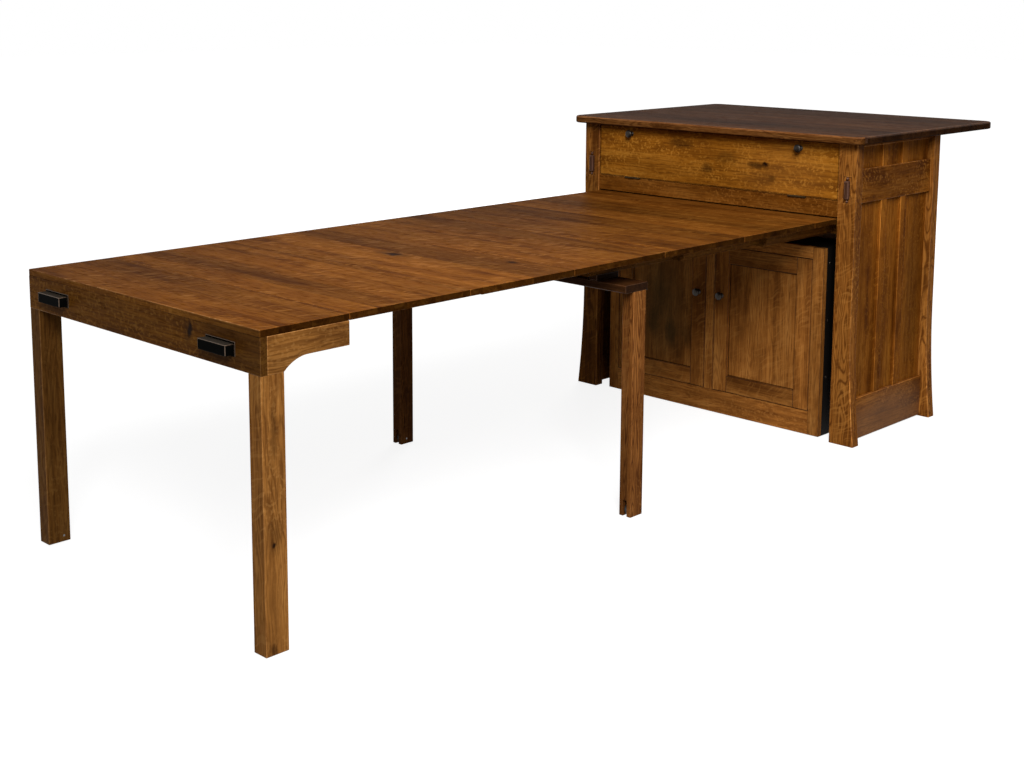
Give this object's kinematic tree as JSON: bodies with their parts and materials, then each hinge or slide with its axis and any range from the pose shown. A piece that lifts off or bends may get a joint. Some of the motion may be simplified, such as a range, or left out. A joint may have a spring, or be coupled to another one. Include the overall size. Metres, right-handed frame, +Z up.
{
  "type": "kitchen island with extending table",
  "caption": "Kitchen island with a leaf store and cabinet, and a long oak table that pulls out of its front on telescoping wooden slides and rolls on legs.",
  "frame": {"origin": "on the floor under the middle of the whole object with its table pulled out", "axes": "+Y from the table's free end towards the island's back, +X to the right seen from the table's end, +Z up"},
  "size_m": [1.22, 3.188, 1.025],
  "materials": {
    "island_oak": "satin",
    "table_oak": "satin",
    "counter_oak": "satin",
    "cabinet_board": "matt",
    "black_board": "matt black stain",
    "black_metal": "satin black",
    "axle_steel": "plain",
    "roller_plastic": "matt"
  },
  "bodies": {
    "island": {"island_top": "counter_oak", "front_post_left": "island_oak", "front_post_right": "island_oak", "back_post_left": "island_oak", "back_post_right": "island_oak", "side_panel_left": "island_oak", "side_panel_right": "island_oak", "side_rails_left": "island_oak", "side_rails_right": "island_oak", "back_panel": "island_oak", "back_rails": "island_oak", "post_keys": "island_oak", "post_pegs": "island_oak", "front_rail": "island_oak", "leaf_store_floor": "cabinet_board", "drop_hinge_fixed_leaves": "black_metal", "cabinet_side_left": "black_board", "cabinet_side_right": "black_board", "cabinet_bottom": "cabinet_board", "cabinet_top": "cabinet_board", "cabinet_back": "cabinet_board", "frame_stiles": "island_oak", "frame_mullion": "island_oak", "frame_rails": "island_oak", "slide_bearers": "cabinet_board", "slide_stage_0": "island_oak"},
    "drop_front": {"drop_front": "island_oak", "drop_hinge_moving_leaves": "black_metal", "drop_front_knobs": "black_metal"},
    "door_left": {"door_frame_left": "island_oak", "door_panel_left": "island_oak", "door_fittings_left": "black_metal"},
    "door_right": {"door_frame_right": "island_oak", "door_panel_right": "island_oak", "door_fittings_right": "black_metal"},
    "stage_1": {"slide_stage_1": "table_oak", "inner_board": "table_oak"},
    "stage_2": {"slide_stage_2": "table_oak"},
    "bridge": {"slide_stage_3": "table_oak", "bridge_bar": "table_oak", "bridge_spacers": "table_oak", "bridge_legs": "table_oak", "bridge_axles": "axle_steel"},
    "stage_4": {"slide_stage_4": "table_oak"},
    "stage_5": {"slide_stage_5": "table_oak"},
    "table_end": {"slide_stage_6": "table_oak", "end_board": "table_oak", "end_apron": "table_oak", "end_brackets": "table_oak", "end_leg_left": "table_oak", "end_leg_right": "table_oak", "end_pulls": "black_metal", "end_axles": "axle_steel"},
    "end_rollers": {"end_rollers": "roller_plastic"},
    "bridge_rollers": {"bridge_rollers": "roller_plastic"},
    "leaf_1": {"leaf_1": "table_oak"},
    "leaf_2": {"leaf_2": "table_oak"},
    "leaf_3": {"leaf_3": "table_oak"},
    "leaf_4": {"leaf_4": "table_oak"},
    "leaf_5": {"leaf_5": "table_oak"}
  },
  "joints": [
    {"name": "table_pull", "type": "slide", "parent": "island", "child": "table_end", "axis": [0, -1, 0], "range_m": [0, 0.06]},
    {"name": "stage_1_slide", "type": "slide", "parent": "island", "child": "stage_1", "axis": [0, -1, 0], "range_m": [0, 0.0105]},
    {"name": "stage_2_slide", "type": "slide", "parent": "island", "child": "stage_2", "axis": [0, -1, 0], "range_m": [0, 0.0205]},
    {"name": "bridge_slide", "type": "slide", "parent": "island", "child": "bridge", "axis": [0, -1, 0], "range_m": [0, 0.0305]},
    {"name": "stage_4_slide", "type": "slide", "parent": "island", "child": "stage_4", "axis": [0, -1, 0], "range_m": [0, 0.0405]},
    {"name": "stage_5_slide", "type": "slide", "parent": "island", "child": "stage_5", "axis": [0, -1, 0], "range_m": [0, 0.0505]},
    {"name": "leaf_1_lift", "type": "slide", "parent": "stage_5", "child": "leaf_1", "axis": [0, 0, 1], "range_m": [0, 0.12]},
    {"name": "leaf_2_lift", "type": "slide", "parent": "stage_4", "child": "leaf_2", "axis": [0, 0, 1], "range_m": [0, 0.12]},
    {"name": "leaf_3_lift", "type": "slide", "parent": "bridge", "child": "leaf_3", "axis": [0, 0, 1], "range_m": [0, 0.12]},
    {"name": "leaf_4_lift", "type": "slide", "parent": "stage_2", "child": "leaf_4", "axis": [0, 0, 1], "range_m": [0, 0.12]},
    {"name": "leaf_5_lift", "type": "slide", "parent": "stage_1", "child": "leaf_5", "axis": [0, 0, 1], "range_m": [0, 0.03]},
    {"name": "drop_front_hinge", "type": "hinge", "parent": "island", "child": "drop_front", "pos_m": [0, 0.7355, 0.809], "axis": [1, 0, 0], "range_deg": [0, 90]},
    {"name": "door_left_hinge", "type": "hinge", "parent": "island", "child": "door_left", "pos_m": [-0.4065, 0.754, 0.344], "axis": [0, 0, -1], "range_deg": [0, 105]},
    {"name": "door_right_hinge", "type": "hinge", "parent": "island", "child": "door_right", "pos_m": [0.4065, 0.754, 0.344], "axis": [0, 0, 1], "range_deg": [0, 105]},
    {"name": "end_rollers_spin", "type": "hinge", "parent": "table_end", "child": "end_rollers", "pos_m": [0, -1.523, 0.018], "axis": [1, 0, 0], "continuous": true},
    {"name": "bridge_rollers_spin", "type": "hinge", "parent": "bridge", "child": "bridge_rollers", "pos_m": [0, -0.274, 0.018], "axis": [1, 0, 0], "continuous": true}
  ],
  "couplings": [
    {"joint": "stage_1_slide", "follows": "table_pull", "ratio": 0.16667},
    {"joint": "stage_2_slide", "follows": "table_pull", "ratio": 0.33333},
    {"joint": "bridge_slide", "follows": "table_pull", "ratio": 0.5},
    {"joint": "stage_4_slide", "follows": "table_pull", "ratio": 0.66667},
    {"joint": "stage_5_slide", "follows": "table_pull", "ratio": 0.83333}
  ]
}
